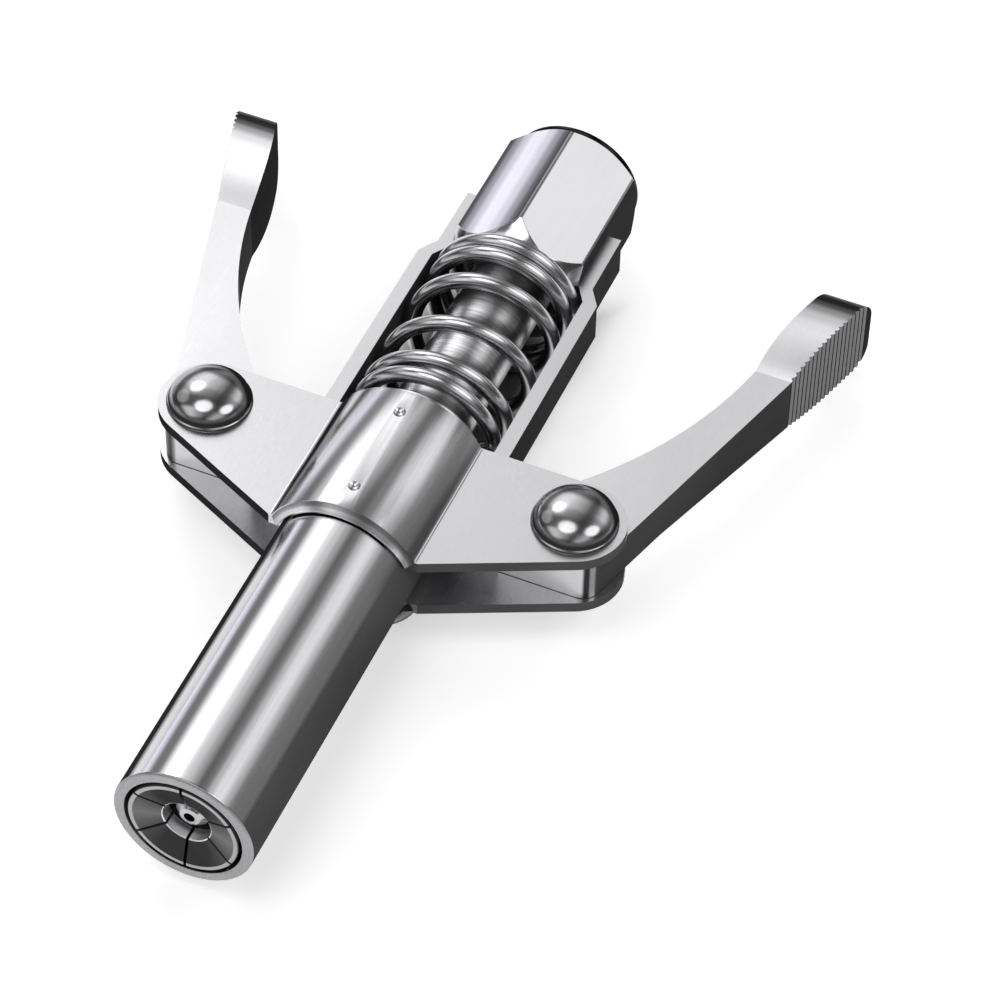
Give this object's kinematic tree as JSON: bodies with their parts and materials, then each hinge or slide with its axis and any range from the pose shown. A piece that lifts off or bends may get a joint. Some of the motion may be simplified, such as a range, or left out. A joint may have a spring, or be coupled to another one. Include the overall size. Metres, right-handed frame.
{
  "type": "grease coupler",
  "caption": "Quick-release grease coupler: polished nose sleeve with spring-loaded jaws, squeeze levers riveted to bracket wings, coil spring, hexagonal rear body with a threaded hose socket.",
  "frame": {"origin": "centre of the hose thread's mouth, on the flat rear end face", "axes": "+Y out of the hose thread along the tube, nose towards -Y; levers spread along X; lever pins along Z, which is the thinnest way"},
  "size_m": [0.086, 0.1137, 0.0202],
  "materials": {
    "polished_steel": "polished",
    "ground_steel": "fine ground, satin",
    "hardened_steel": "hardened, dark satin",
    "turned_steel": "fine turned",
    "spring_steel": "polished wire",
    "rubber": "matte"
  },
  "bodies": {
    "core": {"core_tube": "turned_steel", "rear_body": "polished_steel", "core_gasket": "rubber", "strap_left": "ground_steel", "strap_right": "ground_steel", "jaw_ring": "rubber", "main_spring": "spring_steel", "nozzle_spring": "spring_steel", "spring_stop": "turned_steel", "check_spring": "spring_steel", "valve_seat": "turned_steel"},
    "sleeve": {"nose_sleeve": "polished_steel", "bracket_upper": "polished_steel", "bracket_lower": "polished_steel", "rivet_left": "polished_steel", "rivet_right": "polished_steel"},
    "lever_right_body": {"lever_right": "ground_steel"},
    "lever_left_body": {"lever_left": "ground_steel"},
    "nozzle": {"nozzle_tip": "polished_steel", "nozzle_stem": "turned_steel", "piston_seal": "rubber"},
    "ball": {"check_ball": "polished_steel"},
    "jaw_1_body": {"jaw_1": "hardened_steel"},
    "jaw_2_body": {"jaw_2": "hardened_steel"},
    "jaw_3_body": {"jaw_3": "hardened_steel"},
    "jaw_4_body": {"jaw_4": "hardened_steel"},
    "jaw_5_body": {"jaw_5": "hardened_steel"},
    "jaw_6_body": {"jaw_6": "hardened_steel"}
  },
  "joints": [
    {"name": "sleeve_slide", "type": "slide", "parent": "core", "child": "sleeve", "axis": [0, 1, 0], "range_m": [0, 0.0042], "stiffness_N_per_m": 8600, "springref_m": -0.006, "deforming": ["main_spring"]},
    {"name": "lever_right_hinge", "type": "hinge", "parent": "sleeve", "child": "lever_right_body", "pos_m": [0.0236, -0.0577, 0], "axis": [0, 0, 1], "range_deg": [0, 27.3]},
    {"name": "lever_left_hinge", "type": "hinge", "parent": "sleeve", "child": "lever_left_body", "pos_m": [-0.0236, -0.0577, 0], "axis": [0, 0, -1], "range_deg": [0, 27.3]},
    {"name": "jaw_1_hinge", "type": "hinge", "parent": "core", "child": "jaw_1_body", "pos_m": [0.0046, -0.0964, 0], "axis": [0, 0, 1], "range_deg": [0, 2.2]},
    {"name": "jaw_2_hinge", "type": "hinge", "parent": "core", "child": "jaw_2_body", "pos_m": [0.0023, -0.0964, 0.00398], "axis": [-0.866, 0, 0.5], "range_deg": [0, 2.2]},
    {"name": "jaw_3_hinge", "type": "hinge", "parent": "core", "child": "jaw_3_body", "pos_m": [-0.0023, -0.0964, 0.00398], "axis": [-0.866, 0, -0.5], "range_deg": [0, 2.2]},
    {"name": "jaw_4_hinge", "type": "hinge", "parent": "core", "child": "jaw_4_body", "pos_m": [-0.0046, -0.0964, 0], "axis": [0, 0, -1], "range_deg": [0, 2.2]},
    {"name": "jaw_5_hinge", "type": "hinge", "parent": "core", "child": "jaw_5_body", "pos_m": [-0.0023, -0.0964, -0.00398], "axis": [0.866, 0, -0.5], "range_deg": [0, 2.2]},
    {"name": "jaw_6_hinge", "type": "hinge", "parent": "core", "child": "jaw_6_body", "pos_m": [0.0023, -0.0964, -0.00398], "axis": [0.866, 0, 0.5], "range_deg": [0, 2.2]},
    {"name": "nozzle_slide", "type": "slide", "parent": "core", "child": "nozzle", "axis": [0, 1, 0], "range_m": [0, 0.003], "stiffness_N_per_m": 4300, "springref_m": -0.003, "deforming": ["nozzle_spring"]},
    {"name": "check_slide", "type": "slide", "parent": "core", "child": "ball", "axis": [0, -1, 0], "range_m": [0, 0.0012], "stiffness_N_per_m": 1500, "springref_m": -0.002, "deforming": ["check_spring"]}
  ],
  "couplings": [
    {"joint": "lever_right_hinge", "follows": "sleeve_slide", "rad_per_m": 113.4},
    {"joint": "lever_left_hinge", "follows": "sleeve_slide", "rad_per_m": 113.4},
    {"joint": "jaw_1_hinge", "follows": "sleeve_slide", "rad_per_m": 9.14},
    {"joint": "jaw_2_hinge", "follows": "sleeve_slide", "rad_per_m": 9.14},
    {"joint": "jaw_3_hinge", "follows": "sleeve_slide", "rad_per_m": 9.14},
    {"joint": "jaw_4_hinge", "follows": "sleeve_slide", "rad_per_m": 9.14},
    {"joint": "jaw_5_hinge", "follows": "sleeve_slide", "rad_per_m": 9.14},
    {"joint": "jaw_6_hinge", "follows": "sleeve_slide", "rad_per_m": 9.14}
  ]
}
